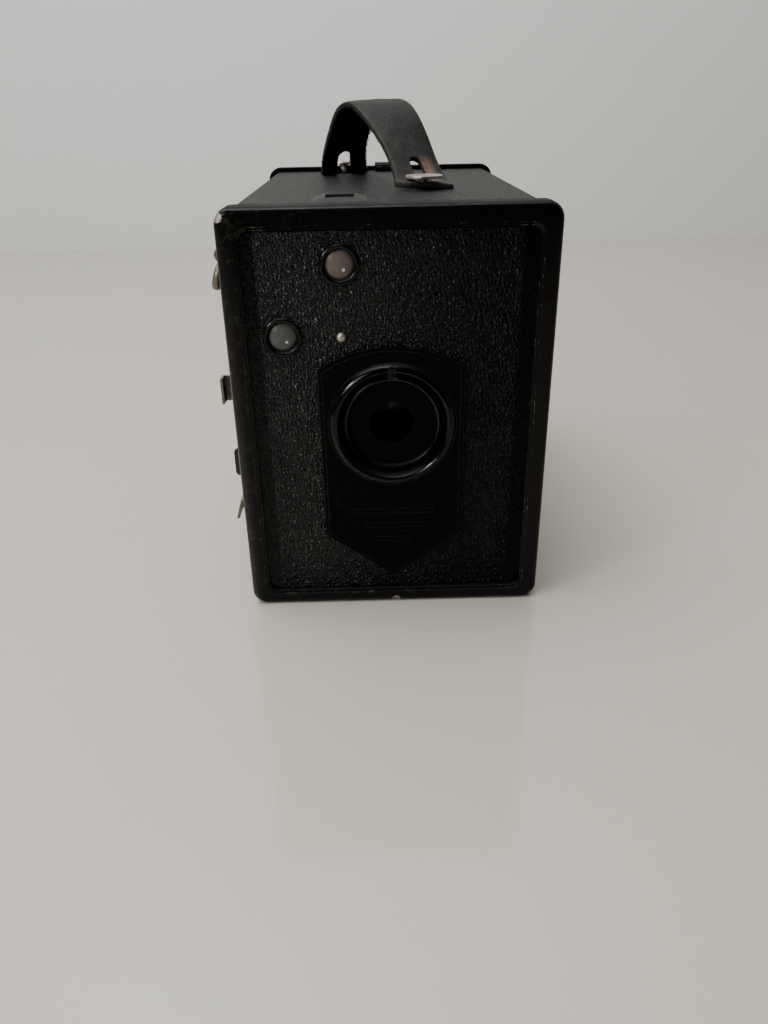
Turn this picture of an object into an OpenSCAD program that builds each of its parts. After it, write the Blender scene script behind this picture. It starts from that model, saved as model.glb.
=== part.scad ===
/* [Case] */
// Height over the front and rear rims
rim_h = 105; // [100:1:110]
// Width of the front rim
front_rim_w = 79.4; // [78.6:0.1:82]
// Width of the rear rim
rear_rim_w = 81.3; // [80:0.1:84]
// Depth from the front rim to the back of the door
case_depth = 133; // [130:1:140]
// Width of the case over its covering
case_w = 76.5; // [75.5:0.1:77.5]
// How far the rims stand beyond the covering, above and below
rim_lip = 1.4; // [1.2:0.1:1.6]
// Thickness of the sheet steel
sheet = 0.6; // [0.5:0.1:0.7]
// Thickness of the leatherette
cover = 0.5; // [0.4:0.1:0.6]
// Depth of the front cover's rim
front_rim_d = 6.3; // [5:0.1:8]
// Depth of the door's rim
rear_rim_d = 6; // [5:0.1:6.5]

/* [Front] */
// Width of the leatherette panel let into the front
panel_w = 68.8; // [66:0.1:70]
// Height of the leatherette panel let into the front
panel_h = 94.9; // [93:0.1:96]
// Height of the lens axis above the table
lens_z = 52.5; // [51:0.5:54]
// Width of the enamelled lens plate
plate_w = 36.4; // [34:0.1:40]
// Diameter of the light opening in the front baffle
baffle_opening = 11; // [9:0.5:12]
// Diameter of a finder lens
finder_lens_d = 6.8; // [6:0.1:7]

/* [Film] */
// Length of a roll film spool over its flanges
spool_len = 65.6; // [65.2:0.1:65.8]
// Diameter of the spool flange
spool_flange_d = 25.2; // [24.8:0.1:25.4]
// Diameter of the spool core
spool_core_d = 11.8; // [11:0.1:13]
// Width of the picture gate
gate_w = 56; // [55:0.5:57]
// Height of the picture gate
gate_h = 82; // [80:0.5:83]

/* [Controls] */
// Depth of the spool axes behind the front rim
spool_depth = 46; // [45:0.5:48]
// Diameter of the winding key's shaft
key_shaft_d = 5; // [4:0.5:5.5]
// Distance between the stops in the stop slide
stop_pitch = 13; // [12:0.5:13.5]
// Diameter of the largest stop
stop_large = 9.5; // [8:0.5:10]
// Diameter of the smallest stop
stop_small = 6.6; // [5:0.1:8]

/* [Handle] */
// Width of the leather strap
strap_w = 17; // [15:0.5:18]
// Thickness of the strap
strap_t = 1.6; // [1.4:0.1:1.8]
// Height of the strap's arch above the case
strap_rise = 20.8; // [18:0.1:23]

/* [Hidden] */
$fn = 64;

// Depth of the tripod bush, which carries the origin, behind the front rim
origin_depth = 27;
// Half sizes and levels of the case
case_half = case_w / 2;
shell_half = case_half - cover;
inner_half = shell_half - sheet;
case_bottom = rim_lip;
case_top = rim_h - rim_lip;
shell_bottom = case_bottom + cover;
shell_top = case_top - cover;
inner_bottom = shell_bottom + sheet;
inner_top = shell_top - sheet;
panel_z = rim_h / 2 - 0.5;
rim_roll = 1.6;
rim_corner = 4;
corner_steps = 8;
// Depths of the layers behind the front rim
panel_face_d = 1.5;
panel_sheet_d = panel_face_d + cover;
panel_back_d = panel_sheet_d + sheet;
gap = 0.05;
slip = 0.15;
board_d = 20.5;
board_t = 0.8;
slide_d = 19.75;
disc_d = 17.4;
lever_d = 15.6;
selector_d = 14.4;
plate_t = 0.6;
// Finder axes
portrait_x = -11.8;
portrait_z = 91.9;
landscape_x = -26.1;
landscape_z = 75.3;
finder_d = 24.1;
finder_box = 9.8;
window_len = 9.5;
window_w = 7.2;
// Place of the rivet in the front
rivet_x = -12;
rivet_z = 75;
// Half the width of the notch at the top of the lens collar
notch_half = 0.9;
// Places in the shutter
disc_x = 11;
disc_z = 64;
disc_r = 22.6;
lever_x = -2;
lever_z = 27;
selector_z = 37.5;
slide_low_z = 44.4;
slide_high_z = 60.6;
neck_low_z = 53.6;
guide_w = 1.6;
// Fixings of the shutter board
post_x = 33;
post_low_z = 8;
post_high_z = 97;
// Where the lever's drive arm and the disc hold the hairpin spring
drive_x = 12;
drive_z = 46;
disc_post = [disc_x + 2, disc_z - 8];
// The lever's return spring, and the holes that it hooks in
spring_x = lever_x - 12;
spring_d = 17.8;
hook_low_z = 27.4;
hook_high_z = 43.6;
hook_hole_r = 0.45;
wire_r = 0.25;
// No stretch of a wire may run along wire_lean, which steadies its corners.
wire_lean = [1, 1, 1.4];
// Film transport
takeup_z = 88.2;
supply_z = rim_h - takeup_z;
spool_half = spool_len / 2;
spool_hole_r = 2;
cheek_out = inner_half - 0.55;
cheek_t = 0.8;
cheek_in = cheek_out - cheek_t;
film_d = 124.3;
roller_r = 2.5;
roller_axis_d = film_d - roller_r;
roller_offset = 45.7;
// Winding key
key_pin_x = -46;
key_tilt = 17;
hub_end = -44.2;
bush_end = 40.6;
// Door
door_front_d = case_depth - rear_rim_d;
door_sheet_d = case_depth - 1.6;
hinge_d = door_front_d - 1.1;
hinge_z = 1;
hinge_r = 0.85;
knuckle_w = 8.8;
window_x = 17;
window_z = 33;
red_window_r = 4.95;
latch_x = 1;
latch_half = 3;
latch_t = 0.5;
curl_d = case_depth - 1.3;
stud_d = 123.2;
stud_rise = 1.1;
// Handle
near_stud = [11, 50];
far_stud = [-13, 121];
strap_z = case_top + 0.4;
stud_head_z = case_top + 2.9;
// Depths of the strap's two ends, of its highest point, and of the stretch where it crosses over
strap_ends = [46.2, 125.6];
strap_top_d = 83.7;
strap_cross = [53, 108];
strap_reach = 31;
// Slant of the strap's width, at its ends and at its middle
end_turn = 13;
mid_turn = 36;
slot_r = 2.2;
stud_r = 1.75;
stud_head_r = 5.15;

// The y of a point a given depth behind the front rim
function row_y(depth) = depth - origin_depth;

// A rectangle with arcs at its corners, about the origin
module rounded_rect(w, h, r) {
    square([w - 2 * r, h], center = true);
    square([w, h - 2 * r], center = true);
    for (sx = [-1, 1], sz = [-1, 1])
        translate([sx * (w / 2 - r), sz * (h / 2 - r)])
            circle(r);
}

// Stands a flat outline drawn in x and z upright, from one depth to a deeper one
module upright(depth, t) {
    translate([0, row_y(depth) + t, 0])
        rotate([90, 0, 0])
            linear_extrude(t)
                children();
}

// Turns a flat outline drawn in depth and z into a plate across x, from x0
module across(x0, t) {
    translate([x0, -origin_depth, 0])
        rotate([90, 0, 90])
            linear_extrude(t)
                children();
}

// A round bar along the depth
module rod_y(x, z, r, d0, d1) {
    translate([x, row_y(d0), z])
        rotate([-90, 0, 0])
            cylinder(h = d1 - d0, r = r);
}

// A round bar across the case
module rod_x(depth, z, r, x0, x1) {
    translate([x0, row_y(depth), z])
        rotate([0, 90, 0])
            cylinder(h = x1 - x0, r = r);
}

// A block given by its lowest and highest x, depth and z
module block(x, d, z) {
    translate([x[0], row_y(d[0]), z[0]])
        cube([x[1] - x[0], d[1] - d[0], z[1] - z[0]]);
}

// A round part turned about the depth axis: its profile is drawn as [radius, depth]
module turned(x, z) {
    translate([x, -origin_depth, z])
        rotate([-90, 0, 0])
            rotate_extrude()
                children();
}

// ---- Front ----

// Points of a rim's outline at a given depth, drawn in by inset. The corner centres stay in place.
function rim_ring(w, depth, inset) =
    [for (q = [0 : 3], i = [0 : corner_steps])
        let (a = 90 * q + 90 * i / corner_steps,
             side = [q == 0 || q == 3 ? 1 : -1, q < 2 ? 1 : -1],
             r = rim_corner - inset)
        [side[0] * (w / 2 - rim_corner) + r * cos(a),
         row_y(depth),
         rim_h / 2 + side[1] * (rim_h / 2 - rim_corner) + r * sin(a)]];

// A rim blank that runs from its rolled edge, a quarter round, to its square edge
module rolled_rim(w, rolled_edge, square_edge, roll) {
    way = square_edge > rolled_edge ? 1 : -1;
    n = 4 * (corner_steps + 1);
    rings = concat([for (a = [90 : -15 : 0])
        rim_ring(w, rolled_edge + way * roll * (1 - sin(a)), roll * (1 - cos(a)))],
        [rim_ring(w, square_edge, 0)]);
    last = len(rings) - 1;
    walls = [for (k = [0 : last - 1], j = [0 : n - 1])
        [k * n + j, (k + 1) * n + j, (k + 1) * n + (j + 1) % n, k * n + (j + 1) % n]];
    ends = [[for (j = [0 : n - 1]) j], [for (j = [n - 1 : -1 : 0]) last * n + j]];
    faces = concat(walls, ends);
    polyhedron([for (ring = rings) each ring],
               way < 0 ? faces : [for (f = faces) [for (i = [len(f) - 1 : -1 : 0]) f[i]]], convexity = 4);
}

module front_cover() color("#15130f") {
    difference() {
        rolled_rim(front_rim_w, 0, front_rim_d, rim_roll);
        // the hollow behind, which takes the case
        upright(panel_back_d, front_rim_d)
            translate([0, rim_h / 2])
                rounded_rect(2 * shell_half + 2 * gap, shell_top - shell_bottom + 2 * gap, 1.5);
        // the step and the recess for the leatherette
        upright(-1, 1.6)
            translate([0, panel_z])
                rounded_rect(panel_w + 2.4, panel_h + 2.4, 3.2);
        upright(-1, 1 + panel_sheet_d)
            translate([0, panel_z])
                rounded_rect(panel_w + 0.8, panel_h + 0.8, 2.4);
        rod_y(0, lens_z, 14, -1, 4);
        rod_y(portrait_x, portrait_z, finder_lens_d / 2 + 0.1, -1, 4);
        rod_y(landscape_x, landscape_z, finder_lens_d / 2 + 0.1, -1, 4);
        rod_y(rivet_x, rivet_z, 0.9, -1, 4);
    }
}

module front_covering() color("#1c1a17") {
    difference() {
        upright(panel_face_d, cover)
            translate([0, panel_z])
                rounded_rect(panel_w, panel_h, 2);
        rod_y(0, lens_z, 14, -1, 4);
        rod_y(portrait_x, portrait_z, 4.8, -1, 4);
        rod_y(landscape_x, landscape_z, 4.8, -1, 4);
        rod_y(rivet_x, rivet_z, 0.9, -1, 4);
    }
}

// Outline of the lens plate, drawn in by the given inset: domed top, straight sides, pointed foot
module plate_outline(inset) {
    half = plate_w / 2 - inset;
    slope = 0.72;
    intersection() {
        translate([-half, 0])
            square([2 * half, rim_h]);
        translate([0, 40.2])
            circle(32.4 - inset, $fn = 128);
        translate([0, 8.2 + 1.23 * inset])
            polygon([[0, 0], [60, 60 * slope], [60, 100], [-60, 100], [-60, 60 * slope]]);
    }
}

module lens_plate() color("#0c0b0a") {
    difference() {
        union() {
            upright(panel_face_d - 0.6, 0.6)
                plate_outline(0);
            upright(panel_face_d - 1, 0.5)
                plate_outline(1);
        }
        rod_y(0, lens_z, 13.9, -2, 4);
    }
    // the raised collar, pressed into one with the plate and notched at the top
    difference() {
        turned(0, lens_z)
            polygon([[16.2, 0.6], [15.8, -0.3], [15, -0.9], [14.4, -1], [13.8, -0.6], [13.3, 0.3],
                     [13.2, 3.6], [13.85, 3.6], [13.85, 1], [16.2, 1]]);
        block([-notch_half, notch_half], [-2, 0], [lens_z + 12.5, lens_z + 15.1]);
    }
    // three plain stepped bars
    for (i = [0 : 2])
        upright(panel_face_d - 1.35, 0.45)
            translate([0, 28.5 - 4.2 * i])
                square([21 - 6 * i, 1.5], center = true);
}

module lens_ring() color("#1e1c19") {
    difference() {
        turned(0, lens_z)
            polygon([[13.1, 1.7], [12.6, 1.6], [12.25, 1.2], [11.9, 1], [11.5, 1.2], [11.25, 1.7],
                     [11.2, 2.4], [13.1, 2.4]]);
        block([-notch_half, notch_half], [-1, 1.9], [lens_z + 11, lens_z + 14]);
    }
    // the index lug beside the notch
    block([notch_half - 0.1, notch_half + 0.5], [0.4, 2.4], [lens_z + 12, lens_z + 12.8]);
}

module lens_baffle() color("#060606") {
    difference() {
        rod_y(0, lens_z, 13.1, 2.5, 3.1);
        rod_y(0, lens_z, baffle_opening / 2, 2, 4);
    }
}

module front_rivet() color("#b9b3a4") {
    turned(rivet_x, rivet_z)
        polygon([[0, 0.5], [0.6, 0.62], [1, 0.95], [1.2, 1.48], [0.8, 1.48], [0.8, 3.3], [0, 3.3]]);
}

// ---- Finders ----

// A small flat-backed lens with a domed front
module finder_lens(x, z) {
    r = finder_lens_d / 2;
    rise = 0.9;
    arc_r = (r * r + rise * rise) / (2 * rise);
    turned(x, z)
        polygon(concat([for (i = [0 : 6])
            let (w = r * i / 6)
            [w, 0.9 + arc_r - sqrt(arc_r * arc_r - w * w)]], [[r, 3], [0, 3]]));
}

module portrait_finder_lens() color("#8d857c") finder_lens(portrait_x, portrait_z);

module landscape_finder_lens() color("#767678") finder_lens(landscape_x, landscape_z);

module finder_lens_rim(x, z) {
    r = finder_lens_d / 2 + 0.08;
    foot = 2 - gap;
    turned(x, z)
        polygon([[r, foot], [r, 1.4], [r + 0.35, 0.9], [r + 0.8, 0.8], [r + 1.2, 1.1], [r + 1.3, foot]]);
}

module portrait_lens_rim() color("#14120f") finder_lens_rim(portrait_x, portrait_z);

module landscape_lens_rim() color("#14120f") finder_lens_rim(landscape_x, landscape_z);

// Side view of a finder's light path: the tube, the sloping back behind the mirror and the window side.
// The first coordinate is depth and the second runs from the axis towards the window.
module finder_path(reach, inset) {
    half = finder_box / 2 - inset;
    front = 2.7;
    back = finder_d + half + 1.2 * inset - 1;
    step = finder_d - half - 1;
    polygon([[front, -half], [finder_d - half, -half], [back, half + 2.2 * inset - 1],
             [back, reach], [step, reach], [step, half], [front, half]]);
}

module finder_tube(reach) {
    wall = 0.4;
    rotate([90, 0, 90])
        difference() {
            linear_extrude(finder_box, center = true)
                finder_path(reach, 0);
            linear_extrude(finder_box - 2 * wall, center = true) {
                finder_path(reach + 1, wall);
                translate([2, -finder_box / 2 + wall])
                    square([2, finder_box - 2 * wall]);
            }
        }
}

// The mirror lies across the tube's corner, at 45 degrees
module finder_mirror() {
    wall = 0.4;
    rotate([90, 0, 90])
        translate([finder_d, 0])
            rotate([0, 0, 45])
                translate([0, -0.1])
                    linear_extrude(finder_box - 2 * wall - 0.2, center = true)
                        translate([-4.6, -0.9])
                            square([10.2, 0.8]);
}

// Places a finder part drawn about the portrait finder's axis
module at_portrait() {
    translate([portrait_x, -origin_depth, portrait_z])
        children();
}

// The landscape finder looks out of the side
module at_landscape() {
    translate([landscape_x, -origin_depth, landscape_z])
        rotate([0, -90, 0])
            children();
}

module portrait_finder_box() color("#2a2a2a") at_portrait()
    finder_tube(inner_top - gap - portrait_z);

module landscape_finder_box() color("#2a2a2a") {
    at_landscape()
        finder_tube(inner_half - gap + landscape_x);
    // the tab that the front rivet holds
    difference() {
        block([landscape_x + finder_box / 2 - 0.3, -9.5], [panel_back_d + gap, panel_back_d + 0.45],
              [72, 78.5]);
        rod_y(rivet_x, rivet_z, 0.9, 2, 4);
    }
}

module portrait_mirror() color("#c8ccd0") at_portrait() finder_mirror();

module landscape_mirror() color("#c8ccd0") at_landscape() finder_mirror();

// A bevelled frame round a finder window. Its axis is the window's normal and its foot is at height 0.
module window_frame() {
    difference() {
        hull() {
            linear_extrude(0.2)
                rounded_rect(13.7, 15.1, 1.2, $fn = 32);
            translate([0, 0, 0.9])
                linear_extrude(0.2)
                    rounded_rect(9.4, 11.9, 0.8, $fn = 32);
        }
        translate([0, 0, -1])
            linear_extrude(3)
                square([window_w, window_len], center = true);
        translate([0, 0, -1])
            linear_extrude(1.45)
                square([window_w + 1.2, window_len + 1.2], center = true);
    }
}

module window_glass() {
    translate([0, 0, -cover + gap])
        linear_extrude(0.8)
            square([window_w + 1, window_len + 1], center = true);
}

// Places a window part over the portrait finder, on top of the case
module on_top() {
    translate([portrait_x, row_y(finder_d), case_top])
        children();
}

// Places a window part over the landscape finder, on the side of the case
module on_side() {
    translate([-case_half, row_y(finder_d), landscape_z])
        rotate([0, -90, 0])
            children();
}

module portrait_window_frame() color("#171512") on_top() window_frame();

module landscape_window_frame() color("#171512") on_side() window_frame();

module portrait_window_glass() color("#8a8d8c") on_top() window_glass();

module landscape_window_glass() color("#8a8d8c") on_side() window_glass();

// ---- Case ----

// Everything that passes through the case walls, grown by a margin
module wall_openings(grow) {
    on_top()
        linear_extrude(6, center = true)
            square([window_w + grow, window_len + grow], center = true);
    on_side()
        linear_extrude(6, center = true)
            square([window_w + grow, window_len + grow], center = true);
    // slots for the stop slide, the selector and the lever
    block([-40, -36], [19.6 - grow, 20.5], [neck_low_z - 0.3 - grow, slide_high_z + 0.3 + grow]);
    block([-40, -36], [14.1 - grow, 15.3], [selector_z - 3.3 - grow, selector_z + 3.3 + grow]);
    block([-40, -36], [15.3, 16.7 + grow], [10.5 - grow, 26.5 + grow]);
}

module body_shell() color("#1a1a1a") {
    // the pressed stud that the latch snaps over
    translate([latch_x, row_y(stud_d), shell_top - sheet])
        cylinder(h = sheet + cover + stud_rise, r = 1.5);
    difference() {
        upright(panel_back_d + gap, case_depth - 2 - panel_back_d)
            translate([0, rim_h / 2])
                rounded_rect(2 * shell_half, shell_top - shell_bottom, 1.5);
        upright(0, case_depth)
            translate([0, rim_h / 2])
                rounded_rect(2 * inner_half, inner_top - inner_bottom, 0.9);
        wall_openings(0);
        rod_x(spool_depth, takeup_z, 4.5, -40, -36);
        rod_x(origin_depth, lens_z, 4.2, 36, 40);
        cylinder(h = 4, r = 4.2);
        for (s = [near_stud, far_stud])
            translate([s[0], row_y(s[1]), shell_top - 2])
                cylinder(h = 4, r = 2.2);
    }
}

module body_covering() color("#1c1a17") {
    difference() {
        upright(front_rim_d + gap, door_front_d - 0.4 - front_rim_d)
            translate([0, rim_h / 2])
                rounded_rect(case_w, case_top - case_bottom, 2);
        upright(0, case_depth)
            translate([0, rim_h / 2])
                rounded_rect(2 * shell_half, shell_top - shell_bottom, 1.5);
        wall_openings(1.2);
        rod_x(spool_depth, takeup_z, 4.5, -40, -36);
        rod_x(origin_depth, lens_z, 5.6, 36, 40);
        cylinder(h = 4, r = 5.6);
        for (s = [near_stud, far_stud])
            translate([s[0], row_y(s[1]), shell_top - 2])
                cylinder(h = 4, r = 2.2);
        translate([latch_x, row_y(stud_d), case_top - 2])
            cylinder(h = 4, r = 1.55);
        // room for the hinge leaf under the case
        block([-22.6, 22.6], [117.8, 130], [0, shell_bottom + 0.1]);
    }
}

module case_bushes() color("#9a958a") {
    // under the case: level with the rims, so that a tripod head seats on it
    difference() {
        union() {
            cylinder(h = shell_bottom - gap, r = 5.5);
            cylinder(h = 8, r = 4.15);
        }
        translate([0, 0, -1])
            cylinder(h = 7, r = 2.6);
    }
    // on the far side, for upright pictures
    translate([front_rim_w / 2, 0, lens_z])
        rotate([0, -90, 0])
            difference() {
                union() {
                    cylinder(h = front_rim_w / 2 - shell_half - gap, r = 5.5);
                    cylinder(h = 8, r = 4.15);
                }
                translate([0, 0, -1])
                    cylinder(h = 7, r = 2.6);
            }
}

// ---- Shutter ----

// Repeats a part at the four corners of the shutter board
module each_post() {
    for (x = [-post_x, post_x], z = [post_low_z, post_high_z])
        translate([x, 0, z])
            children();
}

module board_posts() color("#77736a") each_post()
    difference() {
        rod_y(0, 0, 2.5, panel_back_d + gap, board_d - gap);
        rod_y(0, 0, 1.25, 12, 22);
    }

module board_screws() color("#8d887c") each_post()
    difference() {
        union() {
            rod_y(0, 0, 1.2, 14, board_d + board_t + 0.5);
            rod_y(0, 0, 2.3, board_d + board_t + gap, board_d + board_t + 1.2);
        }
        block([-3, 3], [board_d + board_t + 0.7, 24], [-0.3, 0.3]);
    }

module shutter_board() color("#2b2b2a") {
    // the tongue that the lever's return spring hooks in
    difference() {
        block([spring_x - 1.2, spring_x + 1.2], [spring_d - 1.2, board_d + 0.1],
              [hook_high_z - 0.6, hook_high_z]);
        translate([spring_x, row_y(spring_d), hook_high_z - 1])
            cylinder(h = 2, r = hook_hole_r);
    }
    difference() {
        upright(board_d, board_t)
            translate([0, rim_h / 2])
                rounded_rect(2 * inner_half - 0.4, inner_top - inner_bottom - 0.4, 0.8);
        rod_y(0, lens_z, 6, 18, 24);
        each_post()
            rod_y(0, 0, 1.3, 18, 24);
        // cut-outs that the finder tubes pass through
        block([portrait_x - finder_box / 2 - 0.2, portrait_x + finder_box / 2 + 0.2], [18, 24],
              [portrait_z - finder_box / 2 - 0.2, rim_h]);
        block([-40, landscape_x + finder_box / 2 + 0.2], [18, 24],
              [landscape_z - finder_box / 2 - 0.2, landscape_z + finder_box / 2 + 0.2]);
        rod_y(disc_x, disc_z, 0.9, 18, 24);
        rod_y(lever_x, lever_z, 0.9, 18, 24);
    }
}

// One guide strip: a foot on the board and a lip over the slide's edge
module slide_guide(foot_low, lip_low) {
    block([-12, 33], [slide_d - 0.2, board_d - gap], [foot_low, foot_low + guide_w]);
    block([-12, 33], [slide_d - 0.65, slide_d - 0.2], [lip_low, lip_low + guide_w + 1]);
}

module slide_guides() color("#6d6a62") {
    slide_guide(slide_high_z + slip, slide_high_z + slip - 1);
    slide_guide(slide_low_z - slip - guide_w, slide_low_z - slip - guide_w);
}

// A bridge standing on the board, with a slit for the time selector
module selector_guide() color("#6d6a62") {
    difference() {
        block([-31, -17], [selector_d - 0.8, board_d - gap], [selector_z - 5.2, selector_z + 5.2]);
        block([-32, -16], [selector_d - 0.1, selector_d + plate_t + 0.1],
              [selector_z - 3.1, selector_z + 3.1]);
        block([-32, -16], [selector_d + plate_t + 0.6, board_d - 0.7], [selector_z - 4.6, selector_z + 4.6]);
    }
}

module stop_slide() color("#8f8472") {
    mid = (slide_low_z + slide_high_z) / 2;
    difference() {
        union() {
            upright(slide_d, plate_t)
                translate([13, mid])
                    rounded_rect(40, slide_high_z - slide_low_z, 1.5);
            upright(slide_d, plate_t)
                translate([-45, neck_low_z])
                    square([40, slide_high_z - neck_low_z]);
        }
        rod_y(0, mid, stop_large / 2, 18, 22);
        rod_y(stop_pitch, mid, stop_small / 2, 18, 22);
        rod_y(2 * stop_pitch, mid, 5.2, 18, 22);
    }
    // the finger tab, bent forwards at the end of the neck
    block([-45.3, -44.6], [slide_d - 3.2, slide_d + plate_t], [neck_low_z, slide_high_z]);
}

module yellow_filter() color("#d8b52c")
    rod_y(2 * stop_pitch, (slide_low_z + slide_high_z) / 2, 5.15, slide_d + 0.05, slide_d + plate_t - 0.05);

module time_selector() color("#141312") {
    upright(selector_d, plate_t)
        translate([-41.2, selector_z])
            rounded_rect(4.1, 8, 1.2);
    upright(selector_d, plate_t)
        translate([-42, selector_z - 3])
            square([28, 6]);
}

module shutter_disc() color("#3a3b3c") {
    // the opening lies 45 degrees short of the light path, so the path is shut at rest
    reach = norm([disc_x, disc_z - lens_z]);
    aim = atan2(lens_z - disc_z, -disc_x) - 45;
    difference() {
        rod_y(disc_x, disc_z, disc_r, disc_d, disc_d + 0.4);
        rod_y(disc_x, disc_z, 1.55, disc_d - 1, disc_d + 1);
        rod_y(disc_x + reach * cos(aim), disc_z + reach * sin(aim), 6.3, disc_d - 1, disc_d + 1);
    }
    // the post that the drive spring hooks on
    rod_y(disc_post[0], disc_post[1], 0.8, disc_d - 2.9, disc_d + 0.2);
}

module shutter_pivot() color("#8d887c") {
    rod_y(disc_x, disc_z, 1.5, disc_d - 0.4, board_d - gap);
    rod_y(disc_x, disc_z, 0.88, board_d - 1, board_d + board_t + 0.3);
    rod_y(disc_x, disc_z, 3, disc_d - 0.9, disc_d - 0.1);
    rod_y(disc_x, disc_z, 2.6, disc_d + 0.5, slide_d - 0.75);
}

module release_lever() color("#b0a793") {
    difference() {
        union() {
            // the arm out through the case wall
            upright(lever_d, 0.8)
                polygon([[lever_x - 2, lever_z + 3], [-42.3, 25.35], [-42.7, 23.8], [-41.8, 20.6],
                         [lever_x, lever_z - 4.5]]);
            rod_y(lever_x, lever_z, 4.5, lever_d, lever_d + 0.8);
            // the drive arm towards the disc
            upright(lever_d, 0.8)
                polygon([[lever_x - 1, lever_z + 3.5], [drive_x - 1.6, drive_z + 1.4],
                         [drive_x + 1.6, drive_z - 1.2], [lever_x + 4, lever_z - 1.5]]);
            rod_y(drive_x, drive_z, 2, lever_d, lever_d + 0.8);
            rod_y(drive_x, drive_z, 0.8, disc_d - 2.9, lever_d + 0.4);
        }
        rod_y(lever_x, lever_z, 1.55, lever_d - 1, lever_d + 2);
        rod_y(spring_x, hook_low_z, hook_hole_r, lever_d - 1, lever_d + 2);
    }
    // the finger tab, which leans outwards at its foot
    upright(10, 10)
        polygon([[-41.2, 27.9], [-42, 27.9], [-43.6, 22.3], [-42.8, 22.3], [-41.4, 27]]);
}

module lever_pivot() color("#8d887c") {
    rod_y(lever_x, lever_z, 1.5, lever_d - 0.3, board_d - gap);
    rod_y(lever_x, lever_z, 0.88, board_d - 1, board_d + board_t + 0.3);
    rod_y(lever_x, lever_z, 3, lever_d - 0.8, lever_d - 0.1);
    rod_y(lever_x, lever_z, 3, lever_d + 0.9, board_d - gap);
}

// A round wire through a list of points, as a closed mesh with sides corners.
function unit(v) = v / norm(v);
function wire_point(path, i, j, sides) =
    let (last = len(path) - 1,
         along = unit(path[min(i + 1, last)] - path[max(i - 1, 0)]),
         side = unit(cross(along, wire_lean)),
         up = cross(side, along),
         a = 360 * j / sides)
    path[i] + wire_r * (cos(a) * side + sin(a) * up);

module wire(path, sides = 6) {
    n = len(path);
    points = [for (i = [0 : n - 1], j = [0 : sides - 1]) wire_point(path, i, j, sides)];
    walls = [for (i = [0 : n - 2], j = [0 : sides - 1])
        let (a = i * sides + j,
             b = i * sides + (j + 1) % sides)
        each [[a, a + sides, b + sides], [a, b + sides, b]]];
    ends = [[for (j = [0 : sides - 1]) j], [for (j = [sides - 1 : -1 : 0]) (n - 1) * sides + j]];
    polyhedron(points, concat(walls, ends), convexity = 10);
}

// The coil spring that brings the lever back up. It hooks in the lever and in the board's tongue.
module lever_spring() color("#a9a69c") {
    coils = 8;
    steps = 12;
    coil_r = 1.2;
    low = 30.2;
    high = 41.8;
    plane = row_y(spring_d);
    coil = [for (i = [0 : coils * steps])
        let (a = 360 * i / steps)
        [spring_x + coil_r * cos(a), plane + coil_r * sin(a), low + (high - low) * i / (coils * steps)]];
    // from behind the lever's hole, through it, and up into the coil
    foot = [[spring_x, row_y(lever_d - 0.6), hook_low_z], [spring_x, plane - 0.7, hook_low_z],
            [spring_x, plane - 0.2, hook_low_z + 0.2], [spring_x, plane, hook_low_z + 0.7],
            [spring_x, plane, low - 0.9], [spring_x + 0.6, plane - 0.5, low - 0.3]];
    // out of the coil, up through the tongue, and over its top
    head = [[spring_x + 0.6, plane + 0.5, high + 0.3], [spring_x, plane, high + 0.9],
            [spring_x, plane, hook_high_z + 0.3], [spring_x - 0.3, plane, hook_high_z + 0.8],
            [spring_x - 1, plane, hook_high_z + 0.9]];
    wire(concat(foot, coil, head));
}

// The hairpin spring that throws the disc over
module drive_spring() color("#a9a69c") {
    loop_r = 1.25;
    plane = row_y(disc_d - 2.6);
    down = [for (a = [150 : 20 : 450]) [drive_x + loop_r * cos(a), plane, drive_z + loop_r * sin(a)]];
    up = [for (a = [250 : 20 : 530]) [disc_post[0] + loop_r * cos(a), plane, disc_post[1] + loop_r * sin(a)]];
    wire(concat(down, up));
}

module lens_cell() color("#2f2d2a")
    turned(0, lens_z)
        polygon([[6.6, 21.35], [11, 21.35], [11, 22], [9.4, 22.4],
                 [9.4, 26.2], [8.6, 26.2], [8.6, 22.2], [6.6, 22.2]]);

module meniscus_lens() color("#cfd8d8") {
    r = 8.5;
    back_r = 19;
    front_r = 28;
    steps = 8;
    edge = 23.6;
    turned(0, lens_z)
        polygon(concat(
            [for (i = [0 : steps]) let (w = r * i / steps)
                [w, edge - 1.3 + front_r - sqrt(front_r * front_r - w * w)]],
            [for (i = [steps : -1 : 0]) let (w = r * i / steps)
                [w, edge + 1.5 - (back_r - sqrt(back_r * back_r - w * w)) + 0.9]]));
}

module lens_retainer() color("#6d6a62") {
    difference() {
        rod_y(0, lens_z, 8.5, 25.2, 25.9);
        rod_y(0, lens_z, 7.4, 24, 27);
        block([-1.5, 1.5], [24, 27], [lens_z + 5, lens_z + 10]);
    }
}

// ---- Film transport ----

// A film carrier cheek: a flat plate with an opening between the spools
module cheek_outline() {
    difference() {
        translate([79.5, rim_h / 2])
            rounded_rect(96, inner_top - inner_bottom - 1.4, 3);
        translate([88, rim_h / 2])
            rounded_rect(50, 52, 6);
    }
}

module film_carrier() color("#232322") {
    difference() {
        union() {
            for (x = [-cheek_out, cheek_in])
                across(x, cheek_t)
                    cheek_outline();
            // tie strips between the cheeks, above and below the film
            for (z = [inner_bottom + 0.7, inner_top - 0.7 - plate_t], d = [62, 84])
                block([-cheek_out, cheek_out], [d, d + 10], [z, z + plate_t]);
        }
        rod_x(spool_depth, takeup_z, 3.3, -40, -30);
        rod_x(spool_depth, takeup_z, 1.5, 30, 40);
        rod_x(spool_depth, supply_z, 1.5, -40, 40);
        for (s = [-1, 1])
            rod_x(roller_axis_d, rim_h / 2 + s * roller_offset, 1.25, -40, 40);
    }
}

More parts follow.
